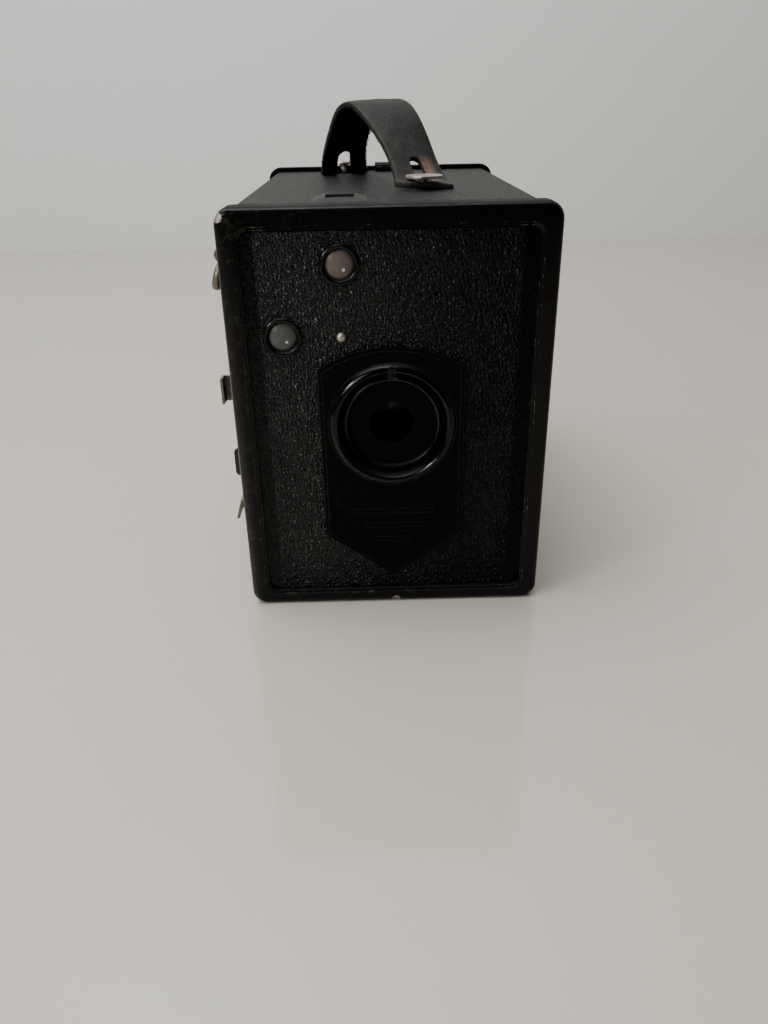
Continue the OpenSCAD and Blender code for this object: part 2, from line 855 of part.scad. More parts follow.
module film_cone() color("#1b1b1b") {
    front = 28;
    back = film_d - plate_t;
    low = (rim_h - gate_h) / 2;
    high = (rim_h + gate_h) / 2;
    wall = 0.5;
    // the picture gate
    difference() {
        block([-cheek_in + gap, cheek_in - gap], [back, film_d], [low - 1.8, high + 1.8]);
        block([-gate_w / 2, gate_w / 2], [back - 1, film_d + 1], [low, high]);
    }
    // the tapering light shaft
    difference() {
        cone_block(front, back, wall);
        cone_block(front - 0.1, back + 0.1, 0);
    }
}

// A four-sided taper from the lens to the gate, grown by wall
module cone_block(front, back, wall) {
    hull() {
        block([-12 - wall, 12 + wall], [front, front + 0.1], [rim_h / 2 - 11 - wall, rim_h / 2 + 11 + wall]);
        block([-gate_w / 2 - wall, gate_w / 2 + wall], [back - 0.1, back],
              [rim_h / 2 - gate_h / 2 - wall, rim_h / 2 + gate_h / 2 + wall]);
    }
}

module film_roller(z) {
    rod_x(roller_axis_d, z, roller_r, -cheek_in + 0.3, cheek_in - 0.3);
    rod_x(roller_axis_d, z, 1.2, -cheek_out, cheek_out);
}

module top_roller() color("#a7a49b") film_roller(rim_h / 2 + roller_offset);

module bottom_roller() color("#a7a49b") film_roller(rim_h / 2 - roller_offset);

// A roll film spool with a round hole and a driving slot in each end
module spool(z) {
    difference() {
        union() {
            rod_x(spool_depth, z, spool_core_d / 2, -spool_half, spool_half);
            for (x = [-spool_half, spool_half - 0.9])
                rod_x(spool_depth, z, spool_flange_d / 2, x, x + 0.9);
        }
        for (x = [-spool_half - 1, spool_half - 5]) {
            rod_x(spool_depth, z, spool_hole_r, x, x + 6);
            block([x, x + 6], [spool_depth - 0.75, spool_depth + 0.75], [z - 3.4, z + 3.4]);
        }
        // the slit that the film's end goes through
        block([-30, 30], [spool_depth - 8, spool_depth + 8], [z - 0.5, z + 0.5]);
    }
}

module supply_spool() color("#2d2c2b") spool(supply_z);

module takeup_spool() color("#2d2c2b") spool(takeup_z);

// Three studs that carry the spool ends the key doesn't hold
module spool_pins() color("#8d887c") {
    spool_pin(supply_z, 1);
    spool_pin(supply_z, -1);
    spool_pin(takeup_z, 1);
}

// One stud: a journal in the spool's end, a shoulder and a shank through the cheek
module spool_pin(z, side) {
    mirror([side > 0 ? 0 : 1, 0, 0]) {
        rod_x(spool_depth, z, spool_hole_r - gap, spool_half - 3, cheek_in - gap);
        rod_x(spool_depth, z, 3.1, spool_half + 0.3, cheek_in - gap);
        rod_x(spool_depth, z, 1.45, cheek_in - 0.5, cheek_out);
    }
}

// Bowed leaf springs on the far cheek that brake the spools. Each has a hole for the pin's shoulder.
module spool_springs() color("#b3ada0") {
    leaf_w = 9;
    for (z = [supply_z, takeup_z])
        difference() {
            translate([cheek_in - gap, row_y(spool_depth), z])
                rotate([90, 0, 0])
                    linear_extrude(leaf_w, center = true)
                        spring_leaf(9, 2.3, 0.3);
            rod_x(spool_depth, z, 3.3, 30, 40);
        }
}

// Edge view of a leaf of half length reach that bows out by bow, t thick
module spring_leaf(reach, bow, t) {
    steps = 12;
    leaf = [for (i = [-steps : steps]) [-t - bow * (1 + cos(180 * i / steps)) / 2, reach * i / steps]];
    polygon(concat(leaf, [for (i = [2 * steps : -1 : 0]) leaf[i] + [t, 0]]));
}

// ---- Winding key ----

module key_bush() color("#7c776c") {
    difference() {
        union() {
            rod_x(spool_depth, takeup_z, 4.4, -bush_end, -inner_half);
            rod_x(spool_depth, takeup_z, 6.4, -case_half - 0.8, -case_half);
        }
        rod_x(spool_depth, takeup_z, key_shaft_d / 2 + gap, -50, -30);
    }
}

module key_washer() color("#8d887c") {
    difference() {
        rod_x(spool_depth, takeup_z, 5, -bush_end - 0.8, -bush_end - 0.1);
        rod_x(spool_depth, takeup_z, key_shaft_d / 2 + gap, -50, -30);
    }
}

module key_shaft() color("#a8a08c") {
    difference() {
        union() {
            rod_x(spool_depth, takeup_z, key_shaft_d / 2, -42, -spool_half - 0.2);
            rod_x(spool_depth, takeup_z, 4.2, hub_end, -bush_end - 0.9);
            // two ears that hold the wing's pin
            for (s = [-1, 1])
                across_ear(s);
            // the flat blade that turns the spool
            block([-spool_half - 1, -spool_half + 2.5], [spool_depth - 0.6, spool_depth + 0.6],
                  [takeup_z - 2.4, takeup_z + 2.4]);
        }
        rod_y(key_pin_x, takeup_z, 0.95, spool_depth - 5, spool_depth + 5);
    }
}

// One ear, standing out from the hub beside the wing
module across_ear(side) {
    y = spool_depth + (side > 0 ? 2.2 : -3.6);
    rod_y(key_pin_x, takeup_z, 2.1, y, y + 1.4);
    block([key_pin_x, hub_end + 0.4], [y, y + 1.4], [takeup_z - 2.1, takeup_z + 2.1]);
}

module key_pin() color("#8d887c")
    rod_y(key_pin_x, takeup_z, 0.9, spool_depth - 3.9, spool_depth + 3.9);

// The drop-shaped wing. It is drawn hanging straight down from its pin and leans out by key_tilt.
module key_wing() color("#a8a08c") {
    ring_z = -6.4;
    ring_r = 3;
    bead = 1.3;
    translate([key_pin_x, row_y(spool_depth), takeup_z])
        rotate([0, key_tilt, 0])
            difference() {
                union() {
                    // barrel round the pin
                    rotate([-90, 0, 0])
                        cylinder(h = 4, r = 1.6, center = true);
                    // the sheet inside the rolled edge
                    rotate([90, 0, 90])
                        linear_extrude(0.9, center = true) {
                            translate([0, ring_z])
                                circle(ring_r);
                            polygon([[-1, 0], [1, 0], [ring_r + 0.3, ring_z + 1.8],
                                     [-ring_r - 0.3, ring_z + 1.8]]);
                        }
                    // the rolled edge: the bulb at the foot, then the sides up to the barrel
                    translate([0, 0, ring_z])
                        rotate([90, 0, 90])
                            rotate_extrude()
                                translate([ring_r, 0])
                                    circle(bead, $fn = 24);
                }
                rotate([-90, 0, 0])
                    cylinder(h = 6, r = 0.96, center = true);
            }
}

// ---- Back ----

module back_door() color("#15130f") {
    difference() {
        // the pan, with its rear edge rolled like the front rim
        rolled_rim(rear_rim_w, case_depth, door_front_d, rim_roll);
        // the hollow that the case's edge goes into
        upright(door_front_d - 2, door_sheet_d - door_front_d + 2)
            translate([0, rim_h / 2])
                rounded_rect(2 * shell_half + 1.1, shell_top - shell_bottom + 0.6, 1.8);
        // the recess for the leatherette
        upright(door_sheet_d + sheet, 4)
            translate([0, rim_h / 2])
                rounded_rect(rear_rim_w - 8.4, rim_h - 8.4, 2.6);
        rod_y(window_x, window_z, red_window_r + gap, 120, 140);
    }
    // hinge knuckles curled from the bottom edge
    for (i = [-1, 1])
        difference() {
            hinge_knuckle(i);
            rod_x(hinge_d, hinge_z, 0.45, -30, 30);
        }
}

// One knuckle of the door's hinge, numbered from the middle. The odd ones belong to the door.
module hinge_knuckle(i) {
    w = knuckle_w - 0.2;
    rod_x(hinge_d, hinge_z, hinge_r, i * knuckle_w - w / 2, i * knuckle_w + w / 2);
    if (abs(i) == 1)
        block([i * knuckle_w - w / 2, i * knuckle_w + w / 2], [hinge_d + 0.5, door_front_d + 0.4],
              [hinge_z - 0.6, hinge_z + 0.2]);
}

module hinge_leaf() color("#55524b") {
    difference() {
        union() {
            block([-22, 22], [118, hinge_d - 1.6], [shell_bottom - 0.45, shell_bottom - gap]);
            for (i = [-2, 0, 2]) {
                hinge_knuckle(i);
                block([i * knuckle_w - 4.3, i * knuckle_w + 4.3], [hinge_d - 2, hinge_d],
                      [shell_bottom - 0.45, shell_bottom - gap]);
            }
        }
        rod_x(hinge_d, hinge_z, 0.42, -30, 30);
    }
}

module hinge_pin() color("#8d887c")
    rod_x(hinge_d, hinge_z, 0.4, -22.4, 22.4);

module back_covering() color("#1c1a17") {
    difference() {
        upright(door_sheet_d + sheet, cover)
            translate([0, rim_h / 2])
                rounded_rect(rear_rim_w - 9, rim_h - 9, 2.3);
        rod_y(window_x, window_z, 6.6, 120, 140);
    }
}

module red_window() color("#7a0f0f")
    rod_y(window_x, window_z, red_window_r, door_sheet_d + 0.1, door_sheet_d + 0.9);

module red_window_ring() color("#15130f")
    turned(window_x, window_z)
        translate([0, door_sheet_d])
            polygon([[4.3, 0.95], [4.3, 1.3], [5, 1.55], [6, 1.5], [6.4, 0.62], [5.1, 0.62], [4.9, 0.95]]);

// The sprung catch on the door's top edge: a strip with a curled root, a step down the rim's front edge,
// a tongue with the hole that snaps over the stud, and a lip to lift it by
module back_latch() color("#b5ae9b") {
    x = [latch_x - latch_half, latch_x + latch_half];
    top = rim_h + gap + latch_t;
    low = case_top + 0.1;
    step = [door_front_d - 0.1 - latch_t, door_front_d - 0.1];
    difference() {
        union() {
            rod_x(curl_d, top, latch_t, x[0], x[1]);
            block(x, [step[0], curl_d], [top - latch_t, top]);
            block(x, step, [low, top]);
            block(x, [stud_d - 3.2, step[1]], [low, low + latch_t]);
            block(x, [stud_d - 3.6, stud_d - 3.1], [low, low + 1.6]);
        }
        translate([latch_x, row_y(stud_d), low - 1])
            cylinder(h = 3, r = 1.8);
    }
}

// ---- Handle ----

// How far along the depth range r a depth lies, from 0 to 1
function share(d, r) = max(0, min(1, (d - r[0]) / (r[1] - r[0])));
// The strap's middle line and the direction of its width, at a given depth
function strap_x(d) =
    (near_stud[0] + far_stud[0]) / 2 + (near_stud[0] - far_stud[0]) / 2 * cos(180 * share(d, strap_cross));
function arch(d) = strap_rise * (1 + cos(180 * min(1, abs(d - strap_top_d) / strap_reach))) / 2;
function strap_centre(d) = [strap_x(d), row_y(d), strap_z + arch(d)];
function strap_across(d) =
    let (a = end_turn + (mid_turn - end_turn) * sin(180 * share(d, strap_ends)))
    [cos(a), sin(a), 0];

module strap_band() {
    n = 44;
    corner = [[-1, 0], [1, 0], [1, 1], [-1, 1]];
    points = [for (i = [0 : n], c = corner)
        let (d = strap_ends[0] + (strap_ends[1] - strap_ends[0]) * i / n,
             along = unit(strap_centre(d + 0.5) - strap_centre(d - 0.5)),
             w = strap_across(d),
             up = unit(cross(w, along)))
        strap_centre(d) + c[0] * strap_w / 2 * w + c[1] * strap_t * up];
    walls = [for (i = [0 : n - 1], j = [0 : 3])
        let (a = i * 4 + j,
             b = i * 4 + (j + 1) % 4)
        each [[a, a + 4, b + 4], [a, b + 4, b]]];
    ends = [[3, 2, 1, 0], [n * 4, n * 4 + 1, n * 4 + 2, n * 4 + 3]];
    polyhedron(points, concat(walls, ends), convexity = 6);
}

module handle_strap() color("#2b2320") {
    difference() {
        strap_band();
        strap_slot(near_stud, 102, 10.8);
        strap_slot(far_stud, -86, 15.4);
        // the far end is cut back to clear the door's rim
        block([-40, 40], [door_front_d - 0.4, case_depth + 5], [case_top, rim_h + 5]);
    }
}

// A slot round a stud, running from the stud up the strap's leg
module strap_slot(stud, turn, run) {
    translate([stud[0], row_y(stud[1]), case_top - 1])
        rotate([0, 0, turn])
            linear_extrude(20) {
                circle(slot_r);
                translate([0, -slot_r])
                    square([run, 2 * slot_r]);
                translate([run, 0])
                    circle(slot_r);
            }
}

// A flat-headed stud, riveted over a washer inside the case
module handle_studs() color("#8f897b") {
    for (s = [near_stud, far_stud])
        translate([s[0], row_y(s[1]), 0]) {
            translate([0, 0, inner_top - 0.5])
                cylinder(h = stud_head_z - inner_top + 0.6, r = stud_r);
            translate([0, 0, stud_head_z])
                cylinder(h = 0.7, r = stud_head_r);
            translate([0, 0, inner_top - 0.55])
                cylinder(h = 0.5, r = 3.2);
        }
}

front_cover();
front_covering();
lens_plate();
lens_ring();
lens_baffle();
front_rivet();
portrait_finder_lens();
landscape_finder_lens();
portrait_lens_rim();
landscape_lens_rim();
portrait_finder_box();
landscape_finder_box();
portrait_mirror();
landscape_mirror();
portrait_window_frame();
landscape_window_frame();
portrait_window_glass();
landscape_window_glass();
body_shell();
body_covering();
board_posts();
board_screws();
shutter_board();
slide_guides();
selector_guide();
stop_slide();
yellow_filter();
time_selector();
shutter_disc();
shutter_pivot();
release_lever();
lever_pivot();
lever_spring();
drive_spring();
lens_cell();
meniscus_lens();
lens_retainer();
film_carrier();
film_cone();
top_roller();
bottom_roller();
supply_spool();
takeup_spool();
spool_pins();
spool_springs();
key_bush();
key_washer();
key_shaft();
key_wing();
key_pin();
back_door();
back_covering();
hinge_leaf();
hinge_pin();
red_window();
red_window_ring();
back_latch();
handle_strap();
handle_studs();
case_bushes();
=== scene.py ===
"""Looks for the box camera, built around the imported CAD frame.

Lengths are in metres, and MM turns millimetres into them. X runs to the right, Y away from the front, Z up.
"""

import math
import random

import bmesh
import bpy
from mathutils import Matrix, Vector, noise


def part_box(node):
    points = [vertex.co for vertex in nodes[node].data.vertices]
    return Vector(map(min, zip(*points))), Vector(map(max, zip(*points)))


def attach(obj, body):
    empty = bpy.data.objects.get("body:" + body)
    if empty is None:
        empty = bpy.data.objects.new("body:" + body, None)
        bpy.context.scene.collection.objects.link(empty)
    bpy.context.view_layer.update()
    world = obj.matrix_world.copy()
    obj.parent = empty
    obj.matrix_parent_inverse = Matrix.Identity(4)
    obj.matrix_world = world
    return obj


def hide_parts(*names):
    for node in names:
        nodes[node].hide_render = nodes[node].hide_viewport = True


MM = 0.001
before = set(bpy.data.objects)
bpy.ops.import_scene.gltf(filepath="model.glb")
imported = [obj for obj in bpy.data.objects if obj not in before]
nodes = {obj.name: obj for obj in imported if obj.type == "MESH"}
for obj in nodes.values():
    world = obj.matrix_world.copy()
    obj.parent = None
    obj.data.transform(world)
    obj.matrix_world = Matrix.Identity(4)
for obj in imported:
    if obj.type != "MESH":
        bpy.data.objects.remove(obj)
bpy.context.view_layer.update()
random.seed(7)


def middle_of(node):
    """The centre of a CAD node's box."""
    low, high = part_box(node)
    return (low + high) / 2


# ---------------------------------------------------------------- material tools


EDGE_SAMPLES = 6


class Paint:
    """A node material under construction. Texture space is the row frame, in metres."""

    def __init__(self, name):
        self.material = bpy.data.materials.new(name)
        self.material.use_nodes = True
        self.tree = self.material.node_tree
        self.tree.nodes.clear()
        self.out = self.add("ShaderNodeOutputMaterial")
        self.shader = self.add("ShaderNodeBsdfPrincipled")
        self.join(self.shader.outputs[0], self.out.inputs["Surface"])
        self.place = self.add("ShaderNodeTexCoord").outputs["Object"]
        self.bumps = None

    def add(self, kind, **settings):
        node = self.tree.nodes.new(kind)
        for key, value in settings.items():
            setattr(node, key, value)
        return node

    def join(self, source, target):
        self.tree.links.new(source, target)

    def put(self, target, value):
        """Joins a socket, or stores a plain value."""
        if isinstance(value, bpy.types.NodeSocket):
            self.join(value, target)
        else:
            wants_alpha = hasattr(target.default_value, "__len__") and len(target.default_value) == 4
            if wants_alpha and len(value) == 3:
                value = (*value, 1)
            target.default_value = value

    def set(self, **values):
        """Sets inputs of the main shader, named with underscores."""
        for key, value in values.items():
            self.put(self.shader.inputs[key.replace("_", " ")], value)

    def noise(self, size, detail=3.0, rough=0.5):
        """Cloudy noise whose lumps are about size across."""
        node = self.add("ShaderNodeTexNoise")
        self.join(self.place, node.inputs["Vector"])
        node.inputs["Scale"].default_value = 1 / size
        node.inputs["Detail"].default_value = detail
        node.inputs["Roughness"].default_value = rough
        return node.outputs["Fac"]

    def cells(self, size, feature="F1", where=None):
        """Distance field of cells about size across."""
        node = self.add("ShaderNodeTexVoronoi", feature=feature)
        self.join(where or self.place, node.inputs["Vector"])
        node.inputs["Scale"].default_value = 1 / size
        return node.outputs["Distance"]

    def ramp(self, value, low, high, first=0.0, last=1.0):
        """value from low to high becomes first to last, smoothly and clamped."""
        node = self.add("ShaderNodeMapRange", interpolation_type="SMOOTHSTEP")
        self.put(node.inputs["Value"], value)
        node.inputs["From Min"].default_value = low
        node.inputs["From Max"].default_value = high
        node.inputs["To Min"].default_value = first
        node.inputs["To Max"].default_value = last
        return node.outputs["Result"]

    def math(self, operation, a, b=0.0):
        node = self.add("ShaderNodeMath", operation=operation)
        self.put(node.inputs[0], a)
        self.put(node.inputs[1], b)
        return node.outputs[0]

    def mix(self, share, a, b):
        """Colour a where share is 0, colour b where it is 1."""
        node = self.add("ShaderNodeMix", data_type="RGBA")
        self.put(node.inputs[0], share)
        self.put(node.inputs[6], a)
        self.put(node.inputs[7], b)
        return node.outputs[2]

    def bump(self, height, depth):
        """Adds relief: height 0 to 1 stands depth tall. Later calls stack on earlier ones."""
        node = self.add("ShaderNodeBump")
        self.put(node.inputs["Height"], height)
        node.inputs["Distance"].default_value = depth
        node.inputs["Strength"].default_value = 1.0
        if self.bumps is not None:
            self.join(self.bumps, node.inputs["Normal"])
        self.bumps = node.outputs["Normal"]
        self.join(self.bumps, self.shader.inputs["Normal"])

    def edges(self, radius):
        """About 1 on sharp edges and 0 on flats."""
        bevel = self.add("ShaderNodeBevel", samples=EDGE_SAMPLES)
        bevel.inputs["Radius"].default_value = radius
        geometry = self.add("ShaderNodeNewGeometry")
        dot = self.add("ShaderNodeVectorMath", operation="DOT_PRODUCT")
        self.join(bevel.outputs[0], dot.inputs[0])
        self.join(geometry.outputs["Normal"], dot.inputs[1])
        return self.ramp(dot.outputs["Value"], 0.999, 0.90)

    def axis(self, name):
        """A coordinate in the row frame, X, Y or Z."""
        split = self.add("ShaderNodeSeparateXYZ")
        self.join(self.place, split.inputs[0])
        return split.outputs[name]

    def facing_up(self):
        """1 on faces that look up, 0 on upright ones."""
        split = self.add("ShaderNodeSeparateXYZ")
        self.join(self.add("ShaderNodeNewGeometry").outputs["Normal"], split.inputs[0])
        return self.ramp(split.outputs["Z"], 0.55, 0.9)

    def mark(self, name):
        """A number stored on the mesh under a name."""
        node = self.add("ShaderNodeAttribute", attribute_name=name)
        return node.outputs["Fac"]

    def near(self, spot, radius):
        """1 at a place in the frame, falling to 0 a radius away."""
        node = self.add("ShaderNodeVectorMath", operation="DISTANCE")
        self.put(node.inputs[0], self.place)
        node.inputs[1].default_value = spot
        return self.ramp(node.outputs["Value"], 0.4 * radius, radius, 1.0, 0.0)

    def stretched(self, x=1.0, y=1.0, z=1.0):
        """Texture space squeezed along each axis."""
        node = self.add("ShaderNodeVectorMath", operation="MULTIPLY")
        self.put(node.inputs[0], self.place)
        node.inputs[1].default_value = (x, y, z)
        return node.outputs[0]


# ---------------------------------------------------------------- kinds of surface

# lighter brown of scuffs, laid only on the lit left side, so partly painted sheen
SCUFF_AND_SHEEN_BROWN = (0.05, 0.043, 0.036)
DUST_GREY = (0.07, 0.066, 0.06)
CHIPPED_STEEL = (0.22, 0.20, 0.175)
# painted shade in the creases of the leatherette grain
CREASE_SHADE_BLACK = (0.0008, 0.0008, 0.0007)
GRAIN_BLACK = (0.0036, 0.0034, 0.0032)
RUBBED_GRAIN = (0.007, 0.0063, 0.0056)
PAINTED_GLINT_WHITE = (0.7, 0.68, 0.64)
MIRROR_SILVER = (0.8, 0.81, 0.82)
LEATHER_DARK = (0.005, 0.0048, 0.0042)
LEATHER_GREY = (0.016, 0.0140, 0.0118)
LEATHER_CUT = (0.030, 0.023, 0.017)
LEATHER_BROWN = (0.15, 0.082, 0.050)
LEATHER_FLESH = (0.006, 0.005, 0.0045)
LEATHER_CRACK = (0.006, 0.0055, 0.005)

WORN_EDGE = 0.35 * MM
GRAIN_CELL = 0.78 * MM
GRAIN_WARP = 0.8 * MM
GRAIN_SQUASH = (1.0, 0.8, 0.55)
# finder lenses: size of the painted reflection, where the painted rim shade ends, and the offset of the
# painted glint
PAINTED_VIEW_RADIUS = 2.6 * MM
PAINTED_RIM_SHADE_RADIUS = 3.5 * MM
PAINTED_GLINT_RIGHT = 1.0 * MM
PAINTED_GLINT_DOWN = 1.1 * MM


def enamel(name, colour, rough, chips, spots=(), gloss=0.2, dust_top=0.5, shine_at=None):
    """Stoved black enamel: slight orange peel, finger haze, and chips down to steel.

    chips is how much of the sharp edges is bare, and spots are (place, radius) pairs that are bare too.
    dust_top dulls the faces that look up, and shine_at gives a mask of where the enamel is polished.
    """
    p = Paint(name)
    haze = p.ramp(p.noise(9 * MM, 4, 0.6), 0.35, 0.7)
    dust = p.ramp(p.noise(0.5 * MM, 2, 0.5), 0.62, 0.75)
    rubbed = p.edges(WORN_EDGE)
    ragged = p.noise(1.3 * MM, 5, 0.7)
    sparse = p.ramp(p.noise(5 * MM, 3, 0.6), 0.50, 0.62)
    flaked = p.ramp(ragged, 0.52, 0.62, 0.0, chips)
    worn = p.math("MULTIPLY", rubbed, p.math("MULTIPLY", flaked, sparse))
    for spot, radius in spots:
        patch = p.math("ADD", p.near(spot, radius), p.math("MULTIPLY", ragged, 0.6))
        worn = p.math("MAXIMUM", worn, p.ramp(patch, 0.95, 1.05))
    # brown mottling on the left side only: partly scuffs, partly painted sheen where the light falls from the
    # left
    lit_left_side = p.ramp(p.axis("X"), 0.0, -36 * MM)
    scuffs_and_left_sheen = p.math("MULTIPLY", p.ramp(p.noise(2.2 * MM, 5, 0.7), 0.5, 0.75), lit_left_side)
    tone = p.mix(p.math("MULTIPLY", scuffs_and_left_sheen, 0.35), colour, SCUFF_AND_SHEEN_BROWN)
    tone = p.mix(p.math("MULTIPLY", dust, 0.08), tone, DUST_GREY)
    p.set(Base_Color=p.mix(worn, tone, CHIPPED_STEEL))
    dull = p.math("ADD", p.math("MULTIPLY", haze, 0.12), rough)
    dull = p.math("ADD", dull, p.math("MULTIPLY", p.facing_up(), dust_top))
    p.set(Roughness=p.math("ADD", dull, p.math("MULTIPLY", worn, 0.25)))
    p.set(Metallic=p.math("MULTIPLY", worn, 0.6))
    lustre = p.math("ADD", gloss, p.math("MULTIPLY", p.math("MAXIMUM", rubbed, worn), 0.22))
    if shine_at is not None:
        lustre = p.math("ADD", lustre, p.math("MULTIPLY", shine_at(p), 0.14))
    p.set(Specular_IOR_Level=lustre)
    p.bump(p.noise(1.4 * MM, 2, 0.5), 0.02 * MM)
    p.bump(p.math("SUBTRACT", 1.0, worn), 0.05 * MM)
    return p.material


def leatherette(name, gloss, smooth_from=None):
    """Leathercloth with a pebbled grain a little taller than wide.

    Farther than smooth_from to either side of the middle it is pressed flat. Such a panel's shine fades
    to the right.
    """
    p = Paint(name)
    warp = p.add("ShaderNodeTexNoise")
    p.put(warp.inputs["Vector"], p.place)
    warp.inputs["Scale"].default_value = 1 / (1.2 * MM)
    shift = p.add("ShaderNodeVectorMath", operation="MULTIPLY_ADD")
    p.join(warp.outputs["Color"], shift.inputs[0])
    shift.inputs[1].default_value = (GRAIN_WARP,) * 3
    p.join(p.stretched(*GRAIN_SQUASH), shift.inputs[2])
    bent = shift.outputs[0]
    crease = p.ramp(p.cells(GRAIN_CELL, "DISTANCE_TO_EDGE", bent), 0.0, 0.3)
    dome = p.ramp(p.cells(GRAIN_CELL, "F1", bent), 0.75, 0.0)
    fine = p.noise(0.3 * MM, 3, 0.6)
    depth = 1.0
    if smooth_from is not None:
        side = p.math("ABSOLUTE", p.axis("X"))
        edge = p.math("ADD", side, p.math("MULTIPLY", fine, 0.8 * MM))
        depth = p.ramp(edge, smooth_from, smooth_from + MM, 1.0, 0.1)
        dome = p.math("MULTIPLY", dome, depth)
    wear = p.ramp(p.noise(14 * MM, 4, 0.6), 0.45, 0.75)
    # the creases between the pebbles are darker: painted shade
    tone = p.mix(crease, CREASE_SHADE_BLACK, GRAIN_BLACK)
    p.set(Base_Color=p.mix(p.math("MULTIPLY", wear, 0.3), tone, RUBBED_GRAIN))
    rough = p.math("SUBTRACT", 0.34, p.math("MULTIPLY", fine, 0.16))
    p.set(Roughness=p.math("ADD", rough, p.math("MULTIPLY", p.facing_up(), 0.2)))
    shine = p.math("MULTIPLY", p.math("ADD", 0.5, p.math("MULTIPLY", crease, 0.5)), gloss)
    if smooth_from is not None:
        shine = p.math("MULTIPLY", shine, p.ramp(p.axis("X"), 22 * MM, -26 * MM, 0.35, 1.0))
        shine = p.math("MULTIPLY", shine, p.math("ADD", 0.3, p.math("MULTIPLY", depth, 0.7)))
    p.set(Specular_IOR_Level=shine)
    p.bump(p.math("MULTIPLY", crease, depth), 0.12 * MM)
    p.bump(dome, 0.4 * MM)
    p.bump(p.math("MULTIPLY", fine, depth), 0.05 * MM)
    return p.material


def matt_paint(name, colour, rough=0.75, gloss=0.3):
    """Dull black paint with a faint cloud in it."""
    p = Paint(name)
    cloud = p.noise(4 * MM, 5, 0.7)
    paler = tuple(c * 1.9 for c in colour)
    p.set(Base_Color=p.mix(p.ramp(cloud, 0.4, 0.8), colour, paler), Specular_IOR_Level=gloss)
    p.set(Roughness=p.math("ADD", p.math("MULTIPLY", cloud, 0.2), rough - 0.1))
    p.bump(p.noise(0.4 * MM, 3, 0.6), 0.02 * MM)
    return p.material


def metal(name, colour, tarnish, rough, spots=0.5):
    """Old plated or bare metal, clouded and spotted. spots is how dark the dirt gets."""
    p = Paint(name)
    cloud = p.ramp(p.noise(2.5 * MM, 6, 0.7), 0.38, 0.66)
    spot = p.ramp(p.noise(0.45 * MM, 4, 0.65), 0.58, 0.68)
    dirt = p.math("MULTIPLY", p.math("MAXIMUM", p.math("MULTIPLY", cloud, 0.6), spot), spots)
    p.set(Base_Color=p.mix(dirt, colour, tarnish))
    p.set(Metallic=p.math("SUBTRACT", 1.0, p.math("MULTIPLY", dirt, 0.5)))
    dull = p.math("ADD", rough, p.math("MULTIPLY", dirt, 0.2))
    p.set(Roughness=p.math("ADD", p.math("MULTIPLY", cloud, 0.2), dull))
    p.bump(p.noise(0.8 * MM, 4, 0.6), 0.02 * MM)
    return p.material


def clear_glass(name, tint, rough=0.05):
    """Glass with finger smears."""
    p = Paint(name)
    smear = p.noise(1.5 * MM, 4, 0.6)
    p.set(Base_Color=tint, Transmission_Weight=0.9, IOR=1.5)
    p.set(Roughness=p.math("ADD", p.math("MULTIPLY", smear, 0.1), rough))
    return p.material


def distance_across(p, x, z):
    """Distance from the line through x and z that runs front to back."""
    aside = p.math("POWER", p.math("SUBTRACT", p.axis("X"), x), 2.0)
    above = p.math("POWER", p.math("SUBTRACT", p.axis("Z"), z), 2.0)
    return p.math("SQRT", p.math("ADD", aside, above))


def finder_glass(name, painted_reflection, rim, lens):
    """A finder lens: a painted reflection of the room in the mirror behind, with painted shade towards the
    rim and one painted glint.
    """
    p = Paint(name)
    middle = middle_of(lens)
    away = distance_across(p, middle.x, middle.z)
    # painted reflection of the room in the mirror, turning to painted shade towards the rim
    field = p.mix(p.ramp(away, PAINTED_VIEW_RADIUS, PAINTED_RIM_SHADE_RADIUS), painted_reflection, rim)
    smudge = p.ramp(p.noise(1.6 * MM, 4, 0.6), 0.35, 0.75)
    darker = tuple(c * 0.6 for c in painted_reflection)
    picture = p.mix(p.math("MULTIPLY", smudge, 0.35), field, darker)
    # a painted glint: a small white spot below and to the right of the middle
    from_painted_glint = distance_across(p, middle.x + PAINTED_GLINT_RIGHT, middle.z - PAINTED_GLINT_DOWN)
    painted_glint = p.ramp(from_painted_glint, 0.5 * MM, 0.1 * MM)
    p.set(Base_Color=p.mix(painted_glint, picture, PAINTED_GLINT_WHITE))
    p.set(Roughness=p.math("ADD", p.math("MULTIPLY", smudge, 0.18), 0.12))
    p.set(Specular_IOR_Level=0.15)
    return p.material


def mirror_glass(name):
    """Silvering with dull patches."""
    p = Paint(name)
    p.set(Base_Color=MIRROR_SILVER, Metallic=1.0)
    p.set(Roughness=p.ramp(p.noise(2 * MM, 5, 0.7), 0.5, 0.9, 0.06, 0.4))
    return p.material


